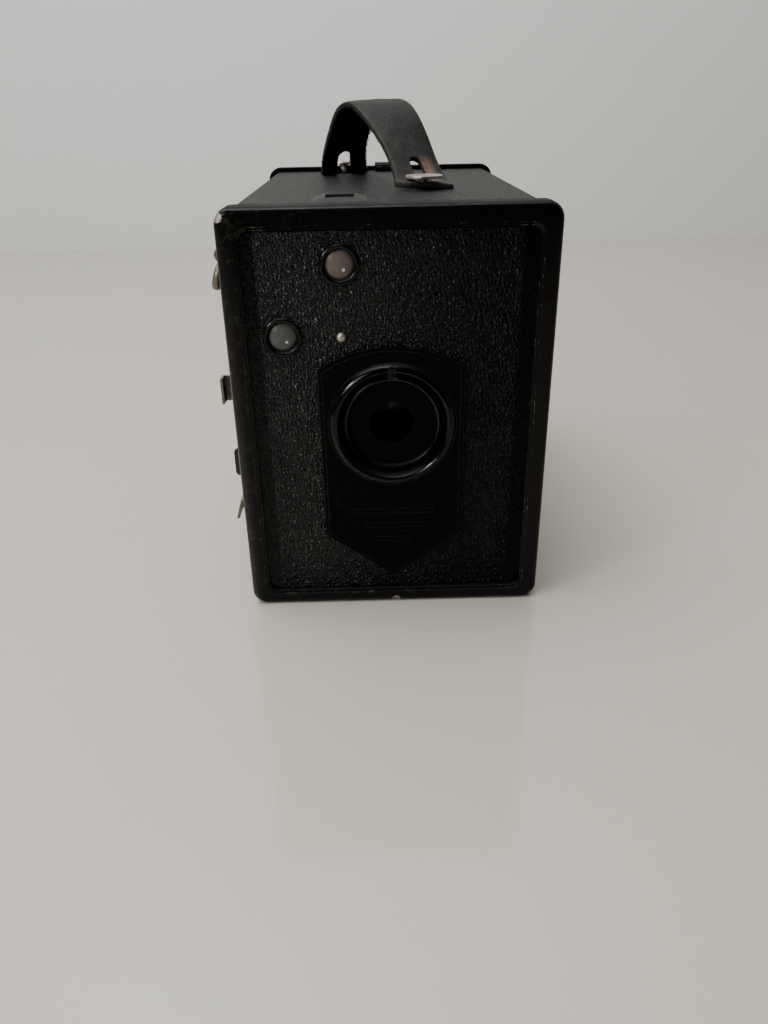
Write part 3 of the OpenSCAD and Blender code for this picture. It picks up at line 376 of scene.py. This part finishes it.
def strap_leather(name):
    """Old leather: a rubbed grain side, a black flesh side, paler cut edges and a brown worn patch.

    The strap's mesh stores where each of these is, under the names edge, flesh and worn.
    """
    p = Paint(name)
    rub = p.ramp(p.noise(6 * MM, 5, 0.65), 0.42, 0.72)
    crack = p.ramp(p.cells(1.5 * MM, "DISTANCE_TO_EDGE", p.stretched(x=0.5)), 0.0, 0.06)
    crack = p.math("MAXIMUM", crack, p.mark("worn"))
    grain = p.noise(0.35 * MM, 4, 0.65)
    pores = p.ramp(p.cells(0.5 * MM), 0.12, 0.3)
    tone = p.mix(rub, LEATHER_DARK, LEATHER_GREY)
    tone = p.mix(p.math("MULTIPLY", p.mark("edge"), p.ramp(grain, 0.4, 0.7)), tone, LEATHER_CUT)
    brown = p.math("MULTIPLY", p.mark("worn"), p.ramp(p.noise(1.6 * MM, 5, 0.7), 0.25, 0.55))
    tone = p.mix(p.math("MULTIPLY", brown, 0.75), tone, LEATHER_BROWN)
    tone = p.mix(p.mark("flesh"), tone, LEATHER_FLESH)
    p.set(Base_Color=p.mix(crack, LEATHER_CRACK, tone), Specular_IOR_Level=0.2)
    rough = p.math("ADD", 0.42, p.math("MULTIPLY", grain, 0.22))
    p.set(Roughness=p.math("MAXIMUM", rough, p.math("MULTIPLY", p.mark("flesh"), 0.9)))
    p.bump(crack, 0.08 * MM)
    p.bump(pores, 0.04 * MM)
    p.bump(grain, 0.10 * MM)
    return p.material


# ---------------------------------------------------------------- dressing the CAD nodes

SHARP_ANGLE = math.radians(32)
WELD_GAP = 0.002 * MM


def dress(node, material, bevel=0.0):
    """Gives a CAD node its material and, where bevel isn't 0, rounds its edges by that much."""
    obj = nodes[node]
    mesh = obj.data
    mesh.materials.clear()
    mesh.materials.append(material)
    for face in mesh.polygons:
        face.use_smooth = True
    mesh.set_sharp_from_angle(angle=SHARP_ANGLE)
    if bevel:
        weld = obj.modifiers.new("weld", "WELD")
        weld.merge_threshold = WELD_GAP
        edge = obj.modifiers.new("round", "BEVEL")
        edge.width = bevel
        edge.segments = 2
        edge.limit_method = "ANGLE"
        edge.angle_limit = SHARP_ANGLE
        edge.use_clamp_overlap = True
        obj.modifiers.new("even", "WEIGHTED_NORMAL")


cover_low, cover_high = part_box("front_cover")
# bare spots on the front rim: its upper left corner, the middle of its lower edge and its lower right corner
RIM_SPOTS = (
    (Vector((cover_low.x + 1.2 * MM, cover_low.y + 0.6 * MM, cover_high.z - 2.2 * MM)), 1.9 * MM),
    (Vector((0.5 * MM, cover_low.y + 0.8 * MM, cover_low.z + 0.8 * MM)), 2.2 * MM),
    (Vector((cover_high.x - 1.5 * MM, cover_low.y + 0.8 * MM, cover_low.z + 1.6 * MM)), 1.3 * MM),
)
COLLAR_RADIUS = 15.8 * MM


def left_flank(p):
    """1 on the left side of the rims, which hands have polished."""
    return p.ramp(p.axis("X"), cover_low.x + 3.2 * MM, cover_low.x + 1.6 * MM)


def lens_collar(p):
    """1 on the collar round the lens axis."""
    axis = middle_of("lens_ring")
    return p.ramp(distance_across(p, axis.x, axis.z), COLLAR_RADIUS + 0.8 * MM, COLLAR_RADIUS)


black_enamel = enamel("black_enamel", (0.0024, 0.0023, 0.0021), rough=0.14, chips=0.7, spots=RIM_SPOTS,
                      gloss=0.14, shine_at=left_flank)
plate_enamel = enamel("plate_enamel", (0.0007, 0.0007, 0.0007), rough=0.09, chips=0.2, gloss=0.045,
                      shine_at=lens_collar)
collar_enamel = enamel("collar_enamel", (0.0014, 0.0014, 0.0013), rough=0.14, chips=0.2, gloss=0.22)
latch_black = enamel("latch_enamel", (0.004, 0.0037, 0.0032), rough=0.3, chips=3.0)
frame_enamel = enamel("window_frame_enamel", (0.011, 0.0105, 0.0098), rough=0.30, chips=4.0, gloss=0.22,
                      dust_top=0.2)
grain_cloth = leatherette("leatherette", gloss=0.25)
panel_cloth = leatherette("panel_leatherette", gloss=0.5, smooth_from=31 * MM)
inside_black = matt_paint("inside_black", (0.006, 0.006, 0.006))
pit_black = matt_paint("pit_black", (0.0012, 0.0012, 0.0012), rough=0.5, gloss=0.05)
nickel = metal("worn_nickel", (0.46, 0.42, 0.36), (0.10, 0.075, 0.05), 0.3)
dull_nickel = metal("dull_nickel", (0.20, 0.175, 0.14), (0.045, 0.034, 0.024), 0.34, 0.8)
brass_key = metal("key_nickel", (0.19, 0.165, 0.13), (0.05, 0.038, 0.027), 0.30, 0.8)
bare_steel = metal("bare_steel", (0.42, 0.41, 0.39), (0.15, 0.13, 0.11), 0.35)
bright_steel = metal("bright_steel", (0.36, 0.35, 0.33), (0.12, 0.105, 0.09), 0.25, 0.4)
blued = metal("blued_steel", (0.06, 0.065, 0.08), (0.05, 0.035, 0.025), 0.3)
dark_tab = metal("dark_tab", (0.05, 0.048, 0.045), (0.03, 0.02, 0.015), 0.4)
window_clear = clear_glass("window_glass", (0.8, 0.82, 0.8))
lens_clear = clear_glass("lens_glass", (0.93, 0.95, 0.94), 0.01)
yellow_clear = clear_glass("yellow_glass", (0.9, 0.62, 0.08), 0.02)
red_clear = clear_glass("red_glass", (0.5, 0.02, 0.012), 0.12)
silvered = mirror_glass("silvered_mirror")
strap_skin = strap_leather("strap_leather")

# painted reflections seen in the finder lenses: painted reflection colour, then painted rim shade colour
warm_painted_view = finder_glass("portrait_painted_view", (0.115, 0.092, 0.077), (0.045, 0.036, 0.030),
                          lens="portrait_finder_lens")
cool_painted_view = finder_glass("landscape_painted_view", (0.078, 0.078, 0.072), (0.03, 0.031, 0.028),
                          lens="landscape_finder_lens")

# each material with the width of its rounded edges and the nodes that wear it
DRESS = {
    black_enamel: (0.15 * MM, ["front_cover", "back_door", "red_window_ring"]),
    frame_enamel: (0.12 * MM, ["portrait_window_frame", "landscape_window_frame"]),
    plate_enamel: (0.2 * MM, ["lens_plate"]),
    collar_enamel: (0.12 * MM, ["lens_ring", "portrait_lens_rim", "landscape_lens_rim"]),
    grain_cloth: (0.1 * MM, ["body_covering", "back_covering"]),
    panel_cloth: (0.1 * MM, ["front_covering"]),
    pit_black: (0.1 * MM, ["lens_baffle"]),
    inside_black: (0, ["body_shell", "portrait_finder_box", "landscape_finder_box", "shutter_board",
                       "film_carrier", "film_cone", "lens_cell", "supply_spool", "takeup_spool"]),
    nickel: (0.1 * MM, ["front_rivet", "key_bush", "handle_studs", "case_bushes", "key_washer"]),
    dull_nickel: (0.1 * MM, ["stop_slide", "release_lever"]),
    latch_black: (0.1 * MM, ["back_latch"]),
    brass_key: (0.12 * MM, ["key_shaft", "key_wing", "key_pin"]),
    bare_steel: (0, ["board_posts", "board_screws", "slide_guides", "selector_guide", "shutter_pivot",
                     "lever_pivot", "lens_retainer", "spool_pins", "hinge_leaf", "hinge_pin"]),
    bright_steel: (0, ["lever_spring", "drive_spring", "spool_springs", "top_roller", "bottom_roller"]),
    blued: (0, ["shutter_disc"]),
    dark_tab: (0.1 * MM, ["time_selector"]),
    warm_painted_view: (0, ["portrait_finder_lens"]),
    cool_painted_view: (0, ["landscape_finder_lens"]),
    window_clear: (0, ["portrait_window_glass", "landscape_window_glass"]),
    lens_clear: (0, ["meniscus_lens"]),
    yellow_clear: (0, ["yellow_filter"]),
    red_clear: (0, ["red_window"]),
    silvered: (0, ["portrait_mirror", "landscape_mirror"]),
}
for material, (bevel, names) in DRESS.items():
    for name in names:
        dress(name, material, bevel)

# ---------------------------------------------------------------- the leather strap

front_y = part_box("front_cover")[0].y
studs_low, studs_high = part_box("handle_studs")
strap_low, strap_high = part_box("handle_strap")
STUD_HEAD = 5.15 * MM  # radius
near_stud = Vector((studs_high.x - STUD_HEAD, studs_low.y + STUD_HEAD, 0))
far_stud = Vector((studs_low.x + STUD_HEAD, studs_high.y - STUD_HEAD, 0))
STRAP_THICK = 1.7 * MM
STRAP_HALF = 8.4 * MM  # half its width
STRAP_START_Y = front_y + 46.2 * MM
STRAP_END_Y = strap_high.y - 1.5 * MM
STRAP_REST_Z = strap_low.z + 1.65 * MM  # its upper face where it lies flat
DROOP, DROOP_REACH = 0.3 * MM, 5 * MM
ARCH_REACH = 31 * MM
ARCH_TOP_Y = front_y + 83.7 * MM
ARCH_RISE = strap_high.z - strap_low.z - STRAP_THICK
# the strap crosses from the near stud's side to the far stud's between these
CROSS_START, CROSS_END = front_y + 53 * MM, front_y + 108 * MM
# slant of the strap's width, and the lift of its right edge, as (millimetres behind the front rim, degrees)
TURNS = ((46, 12), (63, 32), (76, 29), (84, 31), (97, 42), (114, 25), (126, 14))
TILTS = ((46, -4), (63, -5), (76, 9), (84, 2), (97, 0), (126, 2))
CORNER_RADIUS, WORN_CORNER_RADIUS = 1.6 * MM, 5.5 * MM
NEAR_SLOT_LENGTH, NEAR_SLOT_RADIUS = 13 * MM, 2.1 * MM
FAR_SLOT_LENGTH, FAR_SLOT_RADIUS = 17.5 * MM, 2.5 * MM
STRAP_CELL = 0.56 * MM
EDGE_CURL = 0.25 * MM
# the brown patch beside the near slot: its middle up the strap and across it, and its half sizes
WORN_UP, WORN_HALF_LENGTH = 8.5 * MM, 8 * MM
WORN_ASIDE, WORN_HALF_WIDTH = 3.6 * MM, 2.6 * MM
FIBRES = 420


def between(stations, depth):
    """The value at a depth, joined smoothly between (depth, value) stations."""
    for (d0, v0), (d1, v1) in zip(stations, stations[1:]):
        if depth <= d1:
            u = max(0.0, (depth - d0) / (d1 - d0))
            return v0 + (v1 - v0) * u * u * (3 - 2 * u)
    return stations[-1][1]


def strap_middle(y):
    """The middle of the strap's upper face at a given y."""
    u = max(0.0, min(1.0, (y - CROSS_START) / (CROSS_END - CROSS_START)))
    x = (near_stud.x + far_stud.x) / 2 + (near_stud.x - far_stud.x) / 2 * math.cos(math.pi * u)
    fall = min(1.0, abs(y - ARCH_TOP_Y) / ARCH_REACH)
    droop = DROOP * max(0.0, 1 - (y - strap_low.y) / DROOP_REACH) ** 2
    return Vector((x, y, STRAP_REST_Z - droop + ARCH_RISE * (1 + math.cos(math.pi * fall)) / 2))


def strap_width(y):
    """The direction across the strap at a given y."""
    depth = (y - front_y) / MM
    turn, tilt = math.radians(between(TURNS, depth)), math.radians(between(TILTS, depth))
    return Vector((math.cos(turn) * math.cos(tilt), math.sin(turn) * math.cos(tilt), math.sin(tilt)))


def strap_axes(y):
    """The directions across the strap, along it and out of its upper face at a given y."""
    wide = strap_width(y)
    along = (strap_middle(y + 0.3 * MM) - strap_middle(y - 0.3 * MM)).normalized()
    return wide, along, wide.cross(along).normalized()


def lay_out_strap(steps=400):
    """Distance along the strap for evenly spaced y, as a list of (length, y)."""
    rows, length, last = [], 0.0, strap_middle(STRAP_START_Y)
    for i in range(steps + 1):
        y = STRAP_START_Y + (STRAP_END_Y - STRAP_START_Y) * i / steps
        here = strap_middle(y)
        length += (here - last).length
        last = here
        rows.append((length, y))
    return rows


def y_at(rows, length):
    """The y that lies a given length along the strap."""
    for (l0, y0), (l1, y1) in zip(rows, rows[1:]):
        if length <= l1:
            return y0 + (y1 - y0) * (length - l0) / max(l1 - l0, 1e-9)
    return rows[-1][1]


def length_at(rows, y):
    """The length along the strap nearest a given y."""
    return min(rows, key=lambda row: abs(row[1] - y))[0]


def capsule(point, start, end, radius):
    """Distance outside a slot that runs from start to end."""
    run = end - start
    share = max(0.0, min(1.0, (point - start).dot(run) / run.length_squared))
    return (point - start - run * share).length - radius


def inside_ends(point, length):
    """Distance inside the strap's outline. The near end's left corner is worn away more than the others."""
    radius = WORN_CORNER_RADIUS if point.x < length / 2 and point.y < 0 else CORNER_RADIUS
    over_end = abs(point.x - length / 2) - length / 2 + radius
    over_side = abs(point.y) - STRAP_HALF + radius
    corner = Vector((max(over_end, 0), max(over_side, 0))).length
    return radius - corner - min(max(over_end, over_side), 0)


def cut_flat_strap(length, inside):
    """The strap laid flat, with x along it: a square mesh kept where inside is above 0.

    Its rim is then drawn onto the outline, where inside is 0.
    """
    flat = bmesh.new()
    columns, lanes = round(length / STRAP_CELL), round(2 * STRAP_HALF / STRAP_CELL)
    grid = [[flat.verts.new((length * i / columns, STRAP_HALF * (2 * j / lanes - 1), 0))
             for j in range(lanes + 1)] for i in range(columns + 1)]
    for i in range(columns):
        for j in range(lanes):
            corners = (grid[i][j], grid[i + 1][j], grid[i + 1][j + 1], grid[i][j + 1])
            if inside(sum((c.co for c in corners), Vector()).xy / 4) > 0:
                flat.faces.new(corners)
    bmesh.ops.delete(flat, geom=[v for v in flat.verts if not v.link_faces], context="VERTS")
    # rim points move onto the outline, along the slope of the distance
    step = 0.02 * MM
    for _ in range(3):
        for vert in [v for v in flat.verts if v.is_boundary]:
            here = vert.co.xy
            value = inside(here)
            rise = (inside(here + Vector((step, 0))) - value, inside(here + Vector((0, step))) - value)
            slope = Vector(rise) / step
            if slope.length > 0.1:
                vert.co.xy = here - slope * (value / slope.length_squared)
    flat.verts.ensure_lookup_table()
    return flat


def strap_spot(y, flat_spot, layer, on_rim):
    """Where a point of the flat strap lies once wrapped. Layer 0 is the grain side and 2 the flesh side."""
    wide, _, up = strap_axes(y)
    aside = flat_spot.y
    # the long edges curl down a little, and the flesh side is ragged
    curl = -EDGE_CURL * (abs(aside) / STRAP_HALF) ** 4
    coarse = noise.noise(flat_spot / (3.5 * MM))
    rough = noise.noise(flat_spot / (0.7 * MM) + Vector((0, 0, 5 * layer)))
    height = curl + 0.10 * MM * coarse + (0.03 + 0.06 * layer) * MM * rough
    ragged = 0.10 * layer * MM * rough if on_rim else 0.0
    return (strap_middle(y) + wide * (aside + math.copysign(ragged, aside))
            + up * (height - STRAP_THICK * layer / 2))


def leather_piece(name, shape):
    """Turns a finished bmesh into an object of strap leather that rides the body."""
    bmesh.ops.recalc_face_normals(shape, faces=shape.faces)
    mesh = bpy.data.meshes.new(name)
    shape.to_mesh(mesh)
    shape.free()
    mesh.materials.append(strap_skin)
    piece = bpy.data.objects.new(name, mesh)
    bpy.context.scene.collection.objects.link(piece)
    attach(piece, "root")
    return piece


def build_strap():
    """One piece of leather: cut round its outline and slots, wrapped along the arch and given thickness."""
    rows = lay_out_strap()
    length = rows[-1][0]
    near_at, far_at = length_at(rows, near_stud.y), length_at(rows, far_stud.y)
    slots = [(Vector((near_at, 0)), Vector((near_at + NEAR_SLOT_LENGTH, 0)), NEAR_SLOT_RADIUS),
             (Vector((far_at - FAR_SLOT_LENGTH, 0)), Vector((far_at, 0)), FAR_SLOT_RADIUS)]

    def inside(point):
        return min(inside_ends(point, length), *(capsule(point, *slot) for slot in slots))

    flat = cut_flat_strap(length, inside)
    spots = [(v.co.copy(), inside(v.co.xy), v.is_boundary) for v in flat.verts]
    faces = [[v.index for v in f.verts] for f in flat.faces]
    rim = [(e.verts[0].index, e.verts[1].index) for e in flat.edges if e.is_boundary]
    sides = {side for face in faces for side in zip(face, face[1:] + face[:1])}
    flat.free()

    solid = bmesh.new()
    numbers = solid.verts.layers.float
    edge_mark, worn_mark, flesh_mark = (numbers.new(name) for name in ("edge", "worn", "flesh"))
    layers = []
    for layer in range(3):
        ring = {}
        for index, (spot, margin, on_rim) in enumerate(spots):
            if layer == 1 and not on_rim:
                continue
            vert = solid.verts.new(strap_spot(y_at(rows, spot.x), spot, layer, on_rim))
            near_edge = max(0.0, 1 - margin / (0.9 * MM)) * (layer < 2)
            vert[edge_mark] = 1.0 if on_rim and layer == 1 else near_edge
            vert[flesh_mark] = (0.0, 0.35, 1.0)[layer]
            up_slot = (spot.x - near_at - WORN_UP) / WORN_HALF_LENGTH
            beside = (spot.y - WORN_ASIDE) / WORN_HALF_WIDTH
            vert[worn_mark] = max(0.0, 1 - up_slot ** 4) * max(0.0, 1 - beside ** 2) * (layer == 0)
            ring[index] = vert
        layers.append(ring)
    top, middle, bottom = layers
    for face in faces:
        solid.faces.new([top[i] for i in face])
        solid.faces.new([bottom[i] for i in reversed(face)])
    for a, b in rim:
        if (a, b) not in sides:
            a, b = b, a
        solid.faces.new((top[b], top[a], middle[a], middle[b]))
        solid.faces.new((middle[b], middle[a], bottom[a], bottom[b]))
    strap = leather_piece("leather_strap", solid)
    for face in strap.data.polygons:
        face.use_smooth = True
    smooth = strap.modifiers.new("smooth", "SUBSURF")
    smooth.levels = 1
    smooth.render_levels = 1
    return strap, rows, length


strap, strap_rows, strap_length = build_strap()
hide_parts("handle_strap")


def build_fibres():
    """Loose leather fibres along the strap's lower edges. Every other one is on the right of its far half."""
    fuzz = bmesh.new()
    for index in range(FIBRES):
        share = random.random() ** 0.8 if index % 2 else random.uniform(0.55, 0.95)
        y = y_at(strap_rows, share * strap_length)
        side = random.choice((-1, 1)) if index % 2 else 1
        wide, along, up = strap_axes(y)
        root = strap_middle(y) + wide * side * (STRAP_HALF - 0.15 * MM)
        root -= up * STRAP_THICK * random.uniform(0.55, 0.95)
        aim = wide * side * random.uniform(0.3, 1)
        aim -= up * random.uniform(0.1, 0.9)
        aim += along * random.uniform(-0.8, 0.8)
        reach = random.uniform(0.3, 1.3) * MM
        thick = random.uniform(0.08, 0.24) * MM
        tip = root + aim.normalized() * reach
        bend = root.lerp(tip, 0.5) + up * random.uniform(-0.12, 0.12) * MM
        rings = []
        for spot, width in ((root, thick), (bend, thick * 0.8)):
            rings.append([fuzz.verts.new(spot + along * width * math.cos(turn) + up * width * math.sin(turn))
                          for turn in (0, 2.1, 4.2)])
        end = fuzz.verts.new(tip)
        fuzz.faces.new(rings[0])
        for k in range(3):
            n = (k + 1) % 3
            fuzz.faces.new((rings[0][k], rings[0][n], rings[1][n], rings[1][k]))
            fuzz.faces.new((rings[1][k], rings[1][n], end))
    leather_piece("strap_fibres", fuzz)


build_fibres()

# ---------------------------------------------------------------- stage, light and camera

TABLE_GREY = (0.42, 0.395, 0.34)
WALL_WHITE = (0.78, 0.78, 0.77)
ROOM_GREY = (0.93, 0.93, 0.92, 1)
FLOOR_SIZE, FLOOR_MIDDLE_Y = 3.0, 0.9
WALL_SIZE, WALL_Y = 8.0, 0.62


def stage_plane(name, size, location, rotation, material):
    """A square of floor or wall, which is scenery and no part of the camera."""
    bpy.ops.mesh.primitive_plane_add(size=size, location=location, rotation=rotation)
    plane = bpy.context.object
    plane.name = name
    plane.data.materials.append(material)


def plain_paint(name, colour, rough):
    p = Paint(name)
    p.set(Base_Color=colour, Roughness=rough, Specular_IOR_Level=0.5)
    return p.material


stage_plane("floor", FLOOR_SIZE, (0, FLOOR_MIDDLE_Y, 0), (0, 0, 0), plain_paint("table_top", TABLE_GREY, 0.1))
stage_plane("wall", WALL_SIZE, (0, WALL_Y, 0), (math.radians(90), 0, 0), plain_paint("wall", WALL_WHITE, 0.8))


def area_light(name, location, target, size, power, colour):
    """A square lamp at location that points at target."""
    data = bpy.data.lights.new(name, "AREA")
    data.energy = power
    data.size = size
    data.color = colour
    light = bpy.data.objects.new(name, data)
    bpy.context.scene.collection.objects.link(light)
    light.location = location
    light.rotation_euler = (Vector(target) - Vector(location)).to_track_quat("-Z", "Y").to_euler()


area_light("ceiling", (-0.35, 0.35, 1.5), (0, 0.15, 0), size=1.6, power=17.5, colour=(1, 0.98, 0.95))
area_light("wall_wash", (-0.3, 0.05, 1.25), (0, WALL_Y, 0.30), size=0.9, power=19.0, colour=(1, 1, 0.99))
area_light("window", (-0.42, -0.44, 0.34), (-0.03, -0.03, 0.06), size=0.3, power=1.6, colour=(0.96, 0.98, 1))
area_light("glint", (-0.26, -0.21, 0.22), (-0.03, -0.03, 0.07), size=0.05, power=0.42, colour=(0.97, 0.98, 1))


def room_light():
    """Bright towards the wall and dark towards the viewer, so the front of the case stays in shade.

    Seen directly, the room is an even pale grey.
    """
    world = bpy.data.worlds.new("room")
    bpy.context.scene.world = world
    world.use_nodes = True
    tree = world.node_tree
    back = tree.nodes["Background"]
    place = tree.nodes.new("ShaderNodeTexCoord")
    split = tree.nodes.new("ShaderNodeSeparateXYZ")
    fade = tree.nodes.new("ShaderNodeMapRange")
    fade.interpolation_type = "SMOOTHSTEP"
    for name, value in (("From Min", -0.55), ("From Max", 0.45), ("To Min", 0.01), ("To Max", 0.8)):
        fade.inputs[name].default_value = value
    tree.links.new(place.outputs["Generated"], split.inputs[0])
    tree.links.new(split.outputs["Y"], fade.inputs["Value"])
    seen = tree.nodes.new("ShaderNodeLightPath")
    plain = tree.nodes.new("ShaderNodeMix")
    plain.inputs[3].default_value = 0.55
    tree.links.new(seen.outputs["Is Camera Ray"], plain.inputs[0])
    tree.links.new(fade.outputs["Result"], plain.inputs[2])
    tree.links.new(plain.outputs[0], back.inputs["Strength"])
    back.inputs["Color"].default_value = ROOM_GREY


room_light()

# The view is from 188 mm in front of the rim, a little left of the middle, looking down on the case
VIEW_POINT = (-4.6 * MM, front_y - 187.8 * MM, 124.3 * MM)
SENSOR_WIDTH, FOCAL_LENGTH = 36, 27.88
yaw, pitch, roll = math.radians(0.63), math.radians(27.08), math.radians(-1.13)
ahead = Vector((math.sin(yaw) * math.cos(pitch), math.cos(yaw) * math.cos(pitch), -math.sin(pitch)))
right = Vector((math.cos(yaw), -math.sin(yaw), 0))
up = right.cross(ahead)
tilted_right = math.cos(roll) * right + math.sin(roll) * up
tilted_up = math.cos(roll) * up - math.sin(roll) * right
view = Matrix((tilted_right, tilted_up, -ahead)).transposed().to_4x4()
view.translation = VIEW_POINT
lens_data = bpy.data.cameras.new("camera")
lens_data.sensor_width = SENSOR_WIDTH
lens_data.lens = FOCAL_LENGTH
lens_data.clip_start = 0.01
camera = bpy.data.objects.new("camera", lens_data)
camera.matrix_world = view
bpy.context.scene.collection.objects.link(camera)
bpy.context.scene.camera = camera
